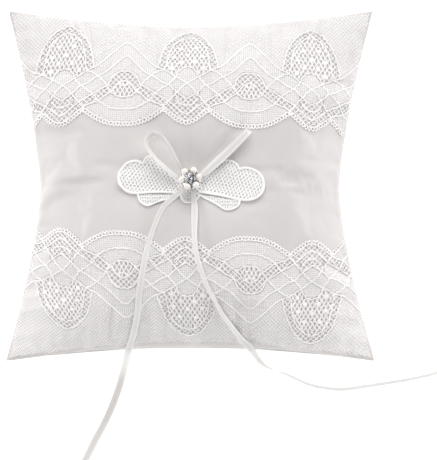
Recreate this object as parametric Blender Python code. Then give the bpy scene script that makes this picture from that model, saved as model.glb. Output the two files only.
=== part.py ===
"""Ring bearer pillow: a tufted satin pillow with two lace bands, a lace applique,
a ribbon bow with two long tails and a pearl brooch on a thread shank.

Frame: origin under the middle of the pillow on the surface it lies on, +X to the
right, +Y to the far edge, +Z up. Sizes are given in millimetres and built in metres.
"""
import math

import bmesh
import bpy
from mathutils import Matrix, Vector

MM = 0.001

# Driving dimensions, in millimetres
HALF_X = 105.0          # corner to corner, half
HALF_Y = 102.0
PULL_X = 19.7           # how far the middle of a side edge sits in from its corners
PULL_Y = 9.6
EDGE_POWER = 1.4        # shape of the hollow along an edge
SEAM_Z = 33.0           # height of the seam at the middle of an edge
CORNER_CURL = 11.0      # a corner's extra height
FRONT_RISE = 31.0
BACK_DROP = 40.0
CROWN_POWER = 2.2
CROWN_ROUND = 0.62
DIMPLE_FRONT = 9.0
DIMPLE_BACK = 13.0
DIMPLE_RADIUS = 24.0
FABRIC = 0.6            # thickness of a panel with its seam allowance
GAP = 0.3               # clear gap between touching pieces
NEEDLE_HOLE = 0.013     # half width of the needle hole, as a share of the panel
GRID_LINES = (NEEDLE_HOLE, 0.09, 0.19, 0.31, 0.44, 0.58, 0.72, 0.85, 0.93, 0.975, 1.0)
FILLING_LINES = GRID_LINES[:-2]

LACE = 0.4
LACE_PITCH = 71.5       # one wide and one narrow scallop
LACE_SHIFT = -2.5
LACE_TIP = 0.335        # free edge at a scallop's tip, as a share of the panel
LACE_NOTCH = 0.425
LACE_ROWS = (0.44, 0.58, 0.72, 0.85, 0.93, 0.975, 1.0)

APPLIQUE_HALF = 41.0
APPLIQUE_TILT = math.radians(-5.0)
APPLIQUE_LIFT = 1.2
APPLIQUE = 0.6

RIBBON_WIDTH = 4.0
RIBBON = 0.5
PINCHED = 2.4           # ribbon width where the knot gathers it

PLATE_BOTTOM = 61.5
PLATE = 0.7
PLATE_RADIUS = 6.2
PEARL_RADIUS = 2.0
PEARL_RING = 4.95
PEARL_COUNT = 6
PEARL_PHASE = math.radians(9.0)
GIRDLE_RADIUS = 3.0
GIRDLE_Z = 66.0
CULET_Z = 63.2
TABLE_Z = 67.2
SHANK_RADIUS = 1.3
SHANK_WIRE = 0.35
SHANK_Z = 59.55
THREAD = 0.3

# Ribbon tails: centre line points from the knot to the cut end, then how far the
# ribbon stands up from lying flat at that point, in degrees
LEFT_TAIL = (
    (-3.8, -4.8, 59.6, 0), (-9, -9.5, 60.3, 0), (-13.5, -13, 61.7, 0), (-18.5, -21.5, 63.5, 0),
    (-23, -35, 63.8, 0), (-25, -43, 62.8, 0), (-27, -53, 60.6, 0), (-29, -64.5, 57.2, 0),
    (-30.5, -77.5, 52, 0), (-33.5, -88.5, 45.3, 0), (-35.5, -95.5, 38.5, 0), (-37, -99.5, 25, 0),
    (-38.5, -102, 12, 0), (-40, -106.5, 3, 0), (-43.5, -117, 1, 0), (-48.5, -129, 0.8, 0),
    (-54.5, -140.5, 0.8, 0), (-59, -149.5, 0.8, 0), (-63, -158, 0.8, 0))
RIGHT_TAIL = (
    (1.4, -5.4, 59.6, 0), (2, -10, 60.2, 0), (2.5, -15.5, 61.3, 0), (2.5, -22.5, 62.6, 0),
    (2.5, -35, 63.8, 0), (4.5, -48.5, 62.2, 0), (10, -61.5, 59, 0), (17, -73.5, 54.5, 0),
    (26.5, -85.5, 48.2, 0), (32.5, -91.5, 43.7, 5), (36.5, -96.5, 36.5, 20), (41, -99.5, 21, 45),
    (47, -101.5, 9.5, 70), (56, -104, 4, 85), (68.5, -109.5, 2.6, 90), (81.5, -112, 2.6, 90),
    (90, -112, 2.6, 90), (107, -109.5, 2.6, 90), (125.5, -106.5, 2.6, 90), (141, -103, 2.6, 90),
    (151, -99.5, 2.6, 90))

# Bow loops: points out from the knot and back to it; lift is above the front panel
LEFT_LOOP = (
    (-3.6, 4.6, 3.4), (-7, 10, 4.6), (-12, 19, 6.0), (-16.5, 25, 6.6), (-21, 27, 6.6),
    (-24.5, 24.5, 6.4), (-24.5, 20, 6.2), (-20, 13.5, 5.6), (-13.5, 7.5, 4.8), (-7.0, 2.6, 3.9))
RIGHT_LOOP = (
    (5.0, 3.6, 2.9), (11, 9, 2.9), (19, 16, 2.9), (26, 22.5, 3.0), (31, 27.5, 3.4),
    (33, 29.5, 4.4), (31.5, 27.5, 5.6), (26.5, 22, 6.0), (19.5, 15, 5.8), (12, 8, 5.2), (7.0, 3.6, 4.4))
LEFT_LOOP_STAND = 60.0
RIGHT_LOOP_STAND = 12.0

COLOURS = {
    "satin": ((0.86, 0.84, 0.83), 0.45, 0.0),
    "filling": ((0.92, 0.92, 0.92), 0.95, 0.0),
    "thread": ((0.90, 0.90, 0.88), 0.7, 0.0),
    "lace": ((0.93, 0.92, 0.91), 0.8, 0.0),
    "ribbon": ((0.93, 0.91, 0.89), 0.35, 0.0),
    "silver": ((0.80, 0.80, 0.80), 0.2, 1.0),
    "crystal": ((0.95, 0.97, 1.0), 0.02, 0.0),
    "pearl": ((0.93, 0.88, 0.84), 0.2, 0.0),
}


def clear_scene():
    for obj in list(bpy.data.objects):
        bpy.data.objects.remove(obj, do_unlink=True)


def material(name):
    found = bpy.data.materials.get(name)
    if found:
        return found
    colour, roughness, metallic = COLOURS[name]
    made = bpy.data.materials.new(name)
    made.use_nodes = True
    shader = made.node_tree.nodes["Principled BSDF"]
    shader.inputs["Base Color"].default_value = (*colour, 1.0)
    shader.inputs["Roughness"].default_value = roughness
    shader.inputs["Metallic"].default_value = metallic
    return made


def object_from_bmesh(name, mesh_data, slot, smooth=True):
    """Turn a bmesh drawn in millimetres into a named object in metres."""
    bmesh.ops.recalc_face_normals(mesh_data, faces=mesh_data.faces)
    bmesh.ops.scale(mesh_data, vec=(MM, MM, MM), verts=mesh_data.verts)
    mesh = bpy.data.meshes.new(name)
    mesh_data.to_mesh(mesh)
    mesh_data.free()
    if smooth:
        mesh.shade_smooth()
        mesh.set_sharp_from_angle(angle=math.radians(40))
    mesh.materials.append(material(slot))
    obj = bpy.data.objects.new(name, mesh)
    bpy.context.scene.collection.objects.link(obj)
    return obj


# The pillow's form. s and t run from -1 to 1 across and along the panel.

def plan_point(s, t):
    x = s * (HALF_X - PULL_X * (1 - abs(t) ** EDGE_POWER))
    y = t * (HALF_Y - PULL_Y * (1 - abs(s) ** EDGE_POWER))
    return x, y


def panel_place(x, y):
    """The s and t of a plan point, by repeated correction."""
    s = x / HALF_X
    t = y / HALF_Y
    for _ in range(12):
        s = max(-1.0, min(1.0, x / (HALF_X - PULL_X * (1 - abs(t) ** EDGE_POWER))))
        t = max(-1.0, min(1.0, y / (HALF_Y - PULL_Y * (1 - abs(s) ** EDGE_POWER))))
    return s, t


def middle_height(s, t):
    return SEAM_Z + CORNER_CURL * abs(s * t) ** 3


def crown(s, t):
    return ((1 - abs(s) ** CROWN_POWER) * (1 - abs(t) ** CROWN_POWER)) ** CROWN_ROUND


def dimple(x, y):
    return math.exp(-(x * x + y * y) / DIMPLE_RADIUS ** 2)


def front_height(s, t):
    x, y = plan_point(s, t)
    rise = FRONT_RISE * crown(s, t) - DIMPLE_FRONT * dimple(x, y)
    return middle_height(s, t) + GAP / 2 + FABRIC + rise


def back_height(s, t):
    x, y = plan_point(s, t)
    drop = BACK_DROP * crown(s, t) - DIMPLE_BACK * dimple(x, y)
    return max(0.0, middle_height(s, t) - GAP / 2 - FABRIC - drop)


def front_above(x, y):
    return front_height(*panel_place(x, y))


# Builders for the kinds of piece

def both_ways(lines):
    return [-line for line in reversed(lines)] + list(lines)


def layer(columns, rows, height):
    """Points of one skin, height being a function of s and t."""
    points = []
    for s in columns:
        points.append([(*plan_point(s, t), height(s, t)) for t in rows])
    return points


def solid_between(name, upper, lower, slot, hole=None):
    """A closed solid between two grids of points, with an optional one-cell hole."""
    mesh_data = bmesh.new()
    count_x = len(upper)
    count_y = len(upper[0])
    tops = [[mesh_data.verts.new(point) for point in column] for column in upper]
    bottoms = [[mesh_data.verts.new(point) for point in column] for column in lower]
    cells = [(i, j) for i in range(count_x - 1) for j in range(count_y - 1) if (i, j) != hole]
    filled = set(cells)
    for i, j in cells:
        ring = ((i, j), (i + 1, j), (i + 1, j + 1), (i, j + 1))
        mesh_data.faces.new([tops[a][b] for a, b in ring])
        mesh_data.faces.new([bottoms[a][b] for a, b in (ring[0], ring[3], ring[2], ring[1])])
        beyond = ((i, j - 1), (i + 1, j), (i, j + 1), (i - 1, j))
        for side in range(4):
            if beyond[side] in filled:
                continue
            a, b = ring[side]
            c, d = ring[(side + 1) % 4]
            mesh_data.faces.new((bottoms[a][b], bottoms[c][d], tops[c][d], tops[a][b]))
    bmesh.ops.triangulate(mesh_data, faces=mesh_data.faces, quad_method="FIXED")
    return object_from_bmesh(name, mesh_data, slot)


def raised(height, amount):
    return lambda s, t: height(s, t) + amount


def smooth_route(points, spacing):
    """Points along a Catmull-Rom curve through a hand-chosen route."""
    route = [points[0]] + list(points) + [points[-1]]
    dense = []
    steps = 24
    for index in range(1, len(route) - 2):
        before, start, end, after = route[index - 1:index + 3]
        for step in range(steps):
            u = step / steps
            dense.append([0.5 * (2 * b + (c - a) * u + (2 * a - 5 * b + 4 * c - d) * u ** 2
                                 + (3 * b - a - 3 * c + d) * u ** 3)
                          for a, b, c, d in zip(before, start, end, after)])
    dense.append(list(points[-1]))
    chosen = [dense[0]]
    travelled = 0.0
    for previous, current in zip(dense, dense[1:]):
        travelled += math.dist(previous[:3], current[:3])
        if travelled >= spacing:
            chosen.append(current)
            travelled = 0.0
    if math.dist(chosen[-1][:3], dense[-1][:3]) < spacing / 2:
        chosen.pop()
    chosen.append(dense[-1])
    return chosen


def ribbon_strip(name, route, width_at):
    """A flat ribbon along a route of x, y, z and standing angle in degrees."""
    mesh_data = bmesh.new()
    sections = []
    for index, point in enumerate(route):
        before = Vector(route[max(index - 1, 0)][:3])
        after = Vector(route[min(index + 1, len(route) - 1)][:3])
        along = (after - before).normalized()
        level = along.cross(Vector((0, 0, 1))).normalized()
        stand = math.radians(point[3])
        across = level * math.cos(stand) + level.cross(along) * math.sin(stand)
        flat = along.cross(across)
        half = across * width_at(index / (len(route) - 1)) / 2
        lift = flat * RIBBON / 2
        centre = Vector(point[:3])
        corners = (centre - half - lift, centre + half - lift, centre + half + lift, centre - half + lift)
        sections.append([mesh_data.verts.new(corner) for corner in corners])
    for first, second in zip(sections, sections[1:]):
        for side in range(4):
            other = (side + 1) % 4
            mesh_data.faces.new((first[side], first[other], second[other], second[side]))
    mesh_data.faces.new(sections[0])
    mesh_data.faces.new(list(reversed(sections[-1])))
    bmesh.ops.triangulate(mesh_data, faces=mesh_data.faces)
    return object_from_bmesh(name, mesh_data, "ribbon")


def turned(name, profile, slot, segments, sharp=False):
    """A solid of revolution about the brooch's axis; a profile of radius and height."""
    mesh_data = bmesh.new()
    rings = []
    for radius, height in profile:
        if radius == 0:
            rings.append([mesh_data.verts.new((0, 0, height))])
            continue
        angles = [2 * math.pi * k / segments for k in range(segments)]
        rings.append([mesh_data.verts.new((radius * math.cos(a), radius * math.sin(a), height))
                      for a in angles])
    pairs = list(zip(rings, rings[1:]))
    if len(rings[0]) > 1 and len(rings[-1]) > 1:
        pairs.append((rings[-1], rings[0]))
    for first, second in pairs:
        for k in range(segments):
            n = (k + 1) % segments
            corners = [first[k % len(first)], first[n % len(first)],
                       second[n % len(second)], second[k % len(second)]]
            mesh_data.faces.new(list(dict.fromkeys(corners)))
    return object_from_bmesh(name, mesh_data, slot, smooth=not sharp)


def tube(name, points, radius, slot, closed=False, sides=2):
    curve = bpy.data.curves.new(name, "CURVE")
    curve.dimensions = "3D"
    curve.bevel_depth = radius * MM
    curve.bevel_resolution = sides
    curve.use_fill_caps = True
    spline = curve.splines.new("POLY")
    spline.points.add(len(points) - 1)
    for target, point in zip(spline.points, points):
        target.co = (*(value * MM for value in point), 1.0)
    spline.use_cyclic_u = closed
    curve.materials.append(material(slot))
    obj = bpy.data.objects.new(name, curve)
    bpy.context.scene.collection.objects.link(obj)
    return obj


# The pieces

def make_pillow():
    lines = both_ways(GRID_LINES)
    middle = (len(GRID_LINES) - 1, len(GRID_LINES) - 1)
    front_outer = layer(lines, lines, front_height)
    front_inner = layer(lines, lines, raised(front_height, -FABRIC))
    solid_between("front_panel", front_outer, front_inner, "satin", middle)
    back_outer = layer(lines, lines, back_height)
    back_inner = layer(lines, lines, raised(back_height, FABRIC))
    solid_between("back_panel", back_inner, back_outer, "satin", middle)

    inside = both_ways(FILLING_LINES)
    middle = (len(FILLING_LINES) - 1, len(FILLING_LINES) - 1)
    clearance = FABRIC + GAP + 0.2
    filling_top = layer(inside, inside, raised(front_height, -clearance))
    filling_bottom = layer(inside, inside, raised(back_height, clearance))
    solid_between("fibre_filling", filling_top, filling_bottom, "filling", middle)


def make_seam_thread():
    """One closed run of stitching just inside the edge, with its corners cut short."""
    side = [(0.985, t) for t in (-0.85, -0.58, -0.3, 0.0, 0.3, 0.58, 0.85)]
    corner = [(0.968, 0.93), (0.952, 0.952), (0.93, 0.968)]
    quarter = side + corner
    places = []
    for turn in range(4):
        for s, t in quarter:
            for _ in range(turn):
                s, t = -t, s
            places.append((s, t))
    points = [(*plan_point(s, t), middle_height(s, t)) for s, t in places]
    tube("seam_thread", points, THREAD, "thread", closed=True, sides=1)


def lace_edge(s):
    """The free edge's t at column s: deep wide scallops and shallow narrow ones."""
    x, _ = plan_point(s, LACE_TIP)
    phase = (x - LACE_SHIFT) / LACE_PITCH * 2 * math.pi
    wave = 0.5 + 0.35 * math.cos(phase) - 0.15 * math.cos(2 * phase)
    return LACE_TIP + (LACE_NOTCH - LACE_TIP) * max(0.0, min(1.0, wave))


def make_lace_band(name, side):
    columns = both_ways(GRID_LINES)
    bottom = GAP + 0.1
    upper = []
    lower = []
    for s in columns:
        rows = sorted(side * t for t in (lace_edge(s),) + LACE_ROWS)
        upper.append([(*plan_point(s, t), front_height(s, t) + bottom + LACE) for t in rows])
        lower.append([(*plan_point(s, t), front_height(s, t) + bottom) for t in rows])
    solid_between(name, upper, lower, "lace")


def wing_height(u):
    """Half depth of the applique at distance u from its middle."""
    along = max(0.0, min(1.0, (abs(u) - 3.0) / (APPLIQUE_HALF - 3.0)))
    return 2.6 + 12.5 * math.sin(math.pi * min(along, 0.999)) ** 0.75


def make_applique():
    hole = NEEDLE_HOLE * (HALF_X - PULL_X)
    steps = (hole, 5.0, 9.0, 14.0, 20.0, 26.0, 32.0, 37.0, APPLIQUE_HALF)
    upper = []
    lower = []
    for u in both_ways(steps):
        depth = wing_height(u)
        rows = (-depth, -hole, hole, depth)
        top_column = []
        bottom_column = []
        for v in rows:
            x = u * math.cos(APPLIQUE_TILT) - v * math.sin(APPLIQUE_TILT)
            y = u * math.sin(APPLIQUE_TILT) + v * math.cos(APPLIQUE_TILT)
            base = front_above(x, y) + APPLIQUE_LIFT
            bottom_column.append((x, y, base))
            top_column.append((x, y, base + APPLIQUE))
        upper.append(top_column)
        lower.append(bottom_column)
    solid_between("lace_applique", upper, lower, "lace", (len(steps) - 1, 1))


def gathered(share):
    """Ribbon width along a loop: pinched where the knot holds both ends."""
    near_end = min(share, 1 - share)
    return PINCHED + (RIBBON_WIDTH - PINCHED) * min(1.0, near_end / 0.2)


def pinched_start(share):
    return PINCHED + (RIBBON_WIDTH - PINCHED) * min(1.0, share / 0.05)


def make_bow():
    for name, loop, stand in (("bow_loop_left", LEFT_LOOP, LEFT_LOOP_STAND),
                              ("bow_loop_right", RIGHT_LOOP, RIGHT_LOOP_STAND)):
        points = [(x, y, front_above(x, y) + lift, stand) for x, y, lift in loop]
        ribbon_strip(name, smooth_route(points, 3.0), gathered)
    ribbon_strip("ribbon_tail_left", smooth_route(LEFT_TAIL, 5.0), pinched_start)
    ribbon_strip("ribbon_tail_right", smooth_route(RIGHT_TAIL, 5.0), pinched_start)


def make_knot():
    """The ribbon's wrapped knot, open in the middle for the brooch's shank."""
    profile = ((2.3, 58.6), (3.0, 58.35), (4.2, 58.35), (4.9, 58.9), (5.1, 59.7),
               (4.9, 60.5), (4.2, 61.1), (3.0, 61.1), (2.3, 60.8))
    knot = turned("bow_knot", profile, "ribbon", 20)
    knot.data.transform(Matrix.Diagonal((1.0, 0.84, 1.0, 1.0)))


def make_brooch(pivot):
    plate_top = PLATE_BOTTOM + PLATE
    bevel = 0.25
    base = turned("brooch_base", (
        (0, PLATE_BOTTOM), (PLATE_RADIUS - bevel, PLATE_BOTTOM), (PLATE_RADIUS, PLATE_BOTTOM + bevel),
        (PLATE_RADIUS, plate_top - bevel), (PLATE_RADIUS - bevel, plate_top), (0, plate_top)),
        "silver", 24)
    wall = 0.35
    slope = GIRDLE_RADIUS / (GIRDLE_Z - CULET_Z)
    cup_low = plate_top + GAP
    cup_high = GIRDLE_Z - GAP
    inner_high = GIRDLE_RADIUS + wall - slope * GAP
    inner_low = 0.5
    cup = turned("crystal_setting", (
        (inner_low, cup_low), (inner_low + wall, cup_low), (inner_low + 2 * wall, CULET_Z),
        (inner_high + wall - 0.1, cup_high), (inner_high, cup_high), (inner_low + 0.15, CULET_Z)),
        "silver", 24)
    girdle = 0.25
    crystal = turned("crystal", (
        (0, CULET_Z + 0.1), (GIRDLE_RADIUS, GIRDLE_Z), (GIRDLE_RADIUS, GIRDLE_Z + girdle),
        (GIRDLE_RADIUS * 0.8, GIRDLE_Z + 0.85), (GIRDLE_RADIUS * 0.55, TABLE_Z), (0, TABLE_Z)),
        "crystal", 12, sharp=True)
    pieces = [base, cup, crystal]
    for number in range(PEARL_COUNT):
        angle = PEARL_PHASE + number * 2 * math.pi / PEARL_COUNT
        mesh_data = bmesh.new()
        bmesh.ops.create_icosphere(mesh_data, subdivisions=2, radius=PEARL_RADIUS)
        place = Vector((PEARL_RING * math.cos(angle), PEARL_RING * math.sin(angle),
                        plate_top + GAP + PEARL_RADIUS))
        bmesh.ops.translate(mesh_data, vec=place, verts=mesh_data.verts)
        pieces.append(object_from_bmesh(f"pearl_{number + 1}", mesh_data, "pearl"))
    ring = [(0, SHANK_RADIUS * math.cos(2 * math.pi * k / 16),
             SHANK_Z + SHANK_RADIUS * math.sin(2 * math.pi * k / 16)) for k in range(16)]
    pieces.append(tube("brooch_shank", ring, SHANK_WIRE, "silver", closed=True))
    for piece in pieces:
        piece.parent = pivot
        piece.matrix_parent_inverse = pivot.matrix_world.inverted()


def make_tufting_thread():
    """Two strands from the knot at the back, over through the shank's ring."""
    apart = 0.45
    spread = 0.9
    back_face = back_height(0, 0)
    rising = [(-apart, 0, back_face), (-apart, 0, SEAM_Z), (-apart, 0, 56.3),
              (-spread, 0, 58.2), (-spread, 0, 58.8), (-0.64, 0, 59.3)]
    falling = [(-x, y, z) for x, y, z in reversed(rising)]
    tube("tufting_thread", rising + [(0, 0, SHANK_Z)] + falling, THREAD, "thread")

    mesh_data = bmesh.new()
    bmesh.ops.create_uvsphere(mesh_data, u_segments=12, v_segments=8, radius=2.4)
    bmesh.ops.scale(mesh_data, vec=(1.0, 0.8, 0.5), verts=mesh_data.verts)
    bmesh.ops.translate(mesh_data, vec=(0, 0, back_face - GAP - 1.2), verts=mesh_data.verts)
    object_from_bmesh("back_knot", mesh_data, "thread")


def build():
    clear_scene()
    pivot = bpy.data.objects.new("brooch_axis", None)
    pivot.location = (0, 0, SHANK_Z * MM)
    bpy.context.scene.collection.objects.link(pivot)
    bpy.context.view_layer.update()
    make_pillow()
    make_seam_thread()
    make_lace_band("upper_lace_band", 1)
    make_lace_band("lower_lace_band", -1)
    make_applique()
    make_bow()
    make_knot()
    make_brooch(pivot)
    make_tufting_thread()


build()
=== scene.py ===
"""Looks for the ring bearer pillow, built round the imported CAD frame.

Lengths are in millimetres until a mesh is made. s and t run from -1 to 1 across and
along a panel; a and b are millimetres along and across a lace band, b from its free edge.
"""
import math

import bmesh
import bpy
import numpy as np
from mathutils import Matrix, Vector


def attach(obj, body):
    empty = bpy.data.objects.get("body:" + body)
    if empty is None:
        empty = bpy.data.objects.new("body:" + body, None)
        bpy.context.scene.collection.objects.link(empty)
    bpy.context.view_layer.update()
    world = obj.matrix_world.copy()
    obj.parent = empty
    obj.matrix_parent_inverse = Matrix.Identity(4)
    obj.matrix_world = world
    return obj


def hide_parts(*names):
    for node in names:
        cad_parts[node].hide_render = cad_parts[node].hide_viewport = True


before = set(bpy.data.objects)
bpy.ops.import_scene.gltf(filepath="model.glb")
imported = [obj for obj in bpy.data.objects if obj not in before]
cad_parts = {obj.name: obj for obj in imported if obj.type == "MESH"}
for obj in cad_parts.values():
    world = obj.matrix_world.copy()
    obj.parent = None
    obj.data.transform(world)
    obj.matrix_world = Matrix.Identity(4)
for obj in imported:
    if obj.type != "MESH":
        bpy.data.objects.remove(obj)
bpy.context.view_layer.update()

MM = 0.001
SEED = 7

# The pillow's form, the same driving dimensions as the CAD panels
HALF_X = 105.0
HALF_Y = 102.0
EDGE_POWER = 1.4
PULL_LEFT = 18.6        # how far each sewn edge is drawn in at its middle
PULL_RIGHT = 19.7
PULL_TOP = 7.2
PULL_BOTTOM = 9.6
BOTTOM_POWER = 2.2
TIP_ROUND = 0.004
SEAM_Z = 33.0
CORNER_CURL = 11.0
FRONT_RISE = 31.0
BACK_DROP = 40.0
CROWN_POWER = 2.2
CROWN_ROUND = 0.62
DIMPLE_FRONT = 9.0
DIMPLE_BACK = 13.0
DIMPLE_RADIUS = 24.0
VALLEY = 7.0            # the soft cloth sinks a little further round the dimple, most above it
VALLEY_Y = 14.0
VALLEY_ACROSS = 58.0
VALLEY_ALONG = 34.0
SEAM_HALF = 0.25        # half thickness of the cloth at the seam
SATIN = 0.5             # thickness of a satin panel
GRID = 161
EDGE_DENSITY = 1.25     # the grid is finer near the seams

# Lace
PITCH = 72.6
HALF_PITCH = PITCH / 2
LACE_SHIFT = -2.7
LACE_LIMIT = 0.988
UPPER_EDGE = (33.2, -0.022, 1.0)     # the free edge: distance from the middle, slant, rise at the ends
LOWER_EDGE = (33.6, 0.046, 3.2)
LOWER_TUCK = 0.10               # how much shorter the lower lace looks towards its seam
LACE_LEAN = 0.03
LACE_TAPER = 0.0004             # how much narrower the pattern grows, for each millimetre across
EDGE_HALF = 72.0                # half the free edge's length
TUCK_FROM = 31.0

# Ribbon tails: the CAD routes
LEFT_TAIL = (
    (-3.8, -4.8, 59.6, 0), (-9, -9.5, 60.3, 0), (-13.5, -13, 61.7, 0), (-18.5, -21.5, 63.5, 0),
    (-23, -35, 63.8, 0), (-25, -43, 62.8, 0), (-27, -53, 60.6, 0), (-29, -64.5, 57.2, 0),
    (-30.5, -77.5, 52, 0), (-33.5, -88.5, 45.3, 0), (-35.5, -95.5, 38.5, 0), (-37, -99.5, 25, 0),
    (-38.5, -102, 12, 0), (-40, -106.5, 3, 0), (-43.5, -117, 1, 0), (-48.5, -129, 0.8, 0),
    (-54.5, -140.5, 0.8, 0), (-59, -149.5, 0.8, 0), (-63, -158, 0.8, 0))
RIGHT_TAIL = (
    (1.4, -5.4, 59.6, 0), (2, -10, 60.2, 0), (2.5, -15.5, 61.3, 0), (2.5, -22.5, 62.6, 0),
    (2.5, -35, 63.8, 0), (4.5, -48.5, 62.2, 0), (10, -61.5, 59, 0), (17, -73.5, 54.5, 0),
    (26.5, -85.5, 48.2, 0), (32.5, -91.5, 43.7, 5), (36.5, -96.5, 36.5, 20), (41, -99.5, 21, 45),
    (47, -101.5, 9.5, 70), (56, -104, 4, 85), (68.5, -109.5, 2.6, 90), (81.5, -112, 2.6, 90),
    (90, -112, 2.6, 90), (107, -109.5, 2.6, 90), (125.5, -106.5, 2.6, 90), (141, -103, 2.6, 90),
    (151, -99.5, 2.6, 90))
LEFT_LOOP = (
    (-3.6, 4.6, 3.4), (-7, 10, 4.6), (-12, 19, 6.0), (-16.5, 25, 6.6), (-21, 27, 6.6),
    (-24.5, 24.5, 6.4), (-24.5, 20, 6.2), (-20, 13.5, 5.6), (-13.5, 7.5, 4.8), (-7.0, 2.6, 3.9))
RIGHT_LOOP = (
    (5.0, 3.6, 2.9), (11, 9, 2.9), (19, 16, 2.9), (26, 22.5, 3.0), (31, 27.5, 3.4),
    (33, 29.5, 4.4), (31.5, 27.5, 5.6), (26.5, 22, 6.0), (19.5, 15, 5.8), (12, 8, 5.2), (7.0, 3.6, 4.4))
RIBBON_WIDTH = 4.0
RIBBON = 0.22
SELVAGE = 0.34
PINCHED = 2.4


# Shared helpers

def lerp(low, high, share):
    return low + (high - low) * share


def unit(vectors):
    """Rows of vectors scaled to length one."""
    vectors = np.asarray(vectors, dtype=float)
    return vectors / np.maximum(np.linalg.norm(vectors, axis=-1, keepdims=True), 1e-9)


def mesh_object(name, points, faces, material, smooth=True, attribute=None):
    """An object from points in millimetres and faces of point numbers."""
    mesh = bpy.data.meshes.new(name)
    mesh.from_pydata((np.asarray(points) * MM).tolist(), [], faces)
    if attribute is not None:
        layer = mesh.attributes.new("weave", "FLOAT_VECTOR", "POINT")
        layer.data.foreach_set("vector", np.asarray(attribute, dtype=np.float32).ravel())
    if smooth:
        mesh.shade_smooth()
    mesh.materials.append(material)
    obj = bpy.data.objects.new(name, mesh)
    bpy.context.scene.collection.objects.link(obj)
    return obj


def grid_faces(number, closed=False):
    """Quads between neighbours of a grid of point numbers, whose columns may close on themselves."""
    low, high = number[:-1], number[1:]
    if closed:
        corners = (low, np.roll(low, -1, axis=1), np.roll(high, -1, axis=1), high)
    else:
        corners = (low[:, :-1], high[:, :-1], high[:, 1:], low[:, 1:])
    return np.stack(corners, axis=-1).reshape(-1, 4)


def rim_faces(number, count):
    """Quads round the edge of a grid, down to its second layer count numbers further on."""
    ring = np.concatenate([number[:-1, 0], number[-1, :-1], number[:0:-1, -1], number[0, :0:-1]])
    beside = np.roll(ring, -1)
    return np.stack([ring, ring + count, beside + count, beside], axis=1)


def tube_faces(rings, sides, start=0):
    """Side faces and two end caps of a tube of rings, each of so many sides."""
    number = start + np.arange(rings * sides).reshape(rings, sides)
    return grid_faces(number, closed=True).tolist() + [number[0, ::-1].tolist(), number[-1].tolist()]


def stand_in(obj, body, slot, node=None):
    """Makes obj ride on a body and lets it replace a CAD node. The slot argument is not used."""
    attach(obj, body)
    if node:
        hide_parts(node)
    return obj


def travel(points):
    """Distance travelled along rows of points."""
    return np.concatenate([[0], np.cumsum(np.linalg.norm(np.diff(points, axis=0), axis=1))])


def between(table, i, j):
    """Values of a table read between its lines, i rows down and j columns across."""
    i0 = i.astype(int)
    j0 = j.astype(int)
    share_shape = i.shape + (1,) * (table.ndim - 2)
    u = (i - i0).reshape(share_shape)
    v = (j - j0).reshape(share_shape)
    low = table[i0, j0] * (1 - v) + table[i0, j0 + 1] * v
    high = table[i0 + 1, j0] * (1 - v) + table[i0 + 1, j0 + 1] * v
    return low * (1 - u) + high * u


def straight_rows(degrees, spacing, reach, step, sway):
    """Lines side by side at an angle. Sway is the size, pace and shift of each line's wiggle."""
    size, pace, shift = sway
    ahead_x = math.cos(math.radians(degrees))
    ahead_y = math.sin(math.radians(degrees))
    along = np.arange(-reach, reach, step)
    for offset in np.arange(-reach, reach, spacing):
        aside = offset + size * np.sin(along * pace + offset * shift)
        yield ahead_x * along - ahead_y * aside, ahead_y * along + ahead_x * aside


def smooth_curve(points, spacing):
    """Evenly spaced points on a Catmull-Rom curve through given points."""
    points = np.asarray(points, dtype=float)
    padded = np.vstack([2 * points[0] - points[1], points, 2 * points[-1] - points[-2]])
    u = np.linspace(0, 1, 24, endpoint=False)[:, None]
    pieces = []
    for k in range(1, len(padded) - 2):
        a, b, c, d = padded[k - 1:k + 3]
        pieces.append(0.5 * (2 * b + (c - a) * u + (2 * a - 5 * b + 4 * c - d) * u ** 2
                             + (3 * b - a - 3 * c + d) * u ** 3))
    dense = np.vstack(pieces + [points[-1:]])
    travelled = travel(dense[:, :3])
    count = max(3, int(round(travelled[-1] / spacing)) + 1)
    wanted = np.linspace(0, travelled[-1], count)
    return np.stack([np.interp(wanted, travelled, column) for column in dense.T], axis=1)


# Materials

def new_material(name, colour, roughness, metallic=0.0, **sockets):
    material = bpy.data.materials.new(name)
    material.use_nodes = True
    shader = material.node_tree.nodes["Principled BSDF"]
    shader.inputs["Base Color"].default_value = (*colour, 1.0)
    shader.inputs["Roughness"].default_value = roughness
    shader.inputs["Metallic"].default_value = metallic
    for socket, value in sockets.items():
        shader.inputs[socket.replace("_", " ")].default_value = value
    return material, material.node_tree, shader


def add_node(tree, kind, **settings):
    node = tree.nodes.new(kind)
    for key, value in settings.items():
        if key in node.inputs:
            node.inputs[key].default_value = value
        else:
            setattr(node, key, value)
    return node


def coordinates(tree, scale=(1.0, 1.0, 1.0), attribute=None):
    """A mapping of object space, or of a named attribute, times scale."""
    if attribute:
        source = add_node(tree, "ShaderNodeAttribute", attribute_name=attribute).outputs["Vector"]
    else:
        source = add_node(tree, "ShaderNodeTexCoord").outputs["Object"]
    mapping = add_node(tree, "ShaderNodeMapping")
    mapping.inputs["Scale"].default_value = scale
    tree.links.new(source, mapping.inputs["Vector"])
    return mapping.outputs["Vector"]


def noise(tree, vector, scale, detail=3.0):
    node = add_node(tree, "ShaderNodeTexNoise", Scale=scale, Detail=detail)
    tree.links.new(vector, node.inputs["Vector"])
    return node.outputs["Fac"]


def wave(tree, vector, scale, direction, distortion=0.4):
    node = add_node(tree, "ShaderNodeTexWave", Scale=scale, Distortion=distortion,
                    bands_direction=direction)
    node.inputs["Detail"].default_value = 1.0
    tree.links.new(vector, node.inputs["Vector"])
    return node.outputs["Fac"]


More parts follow.
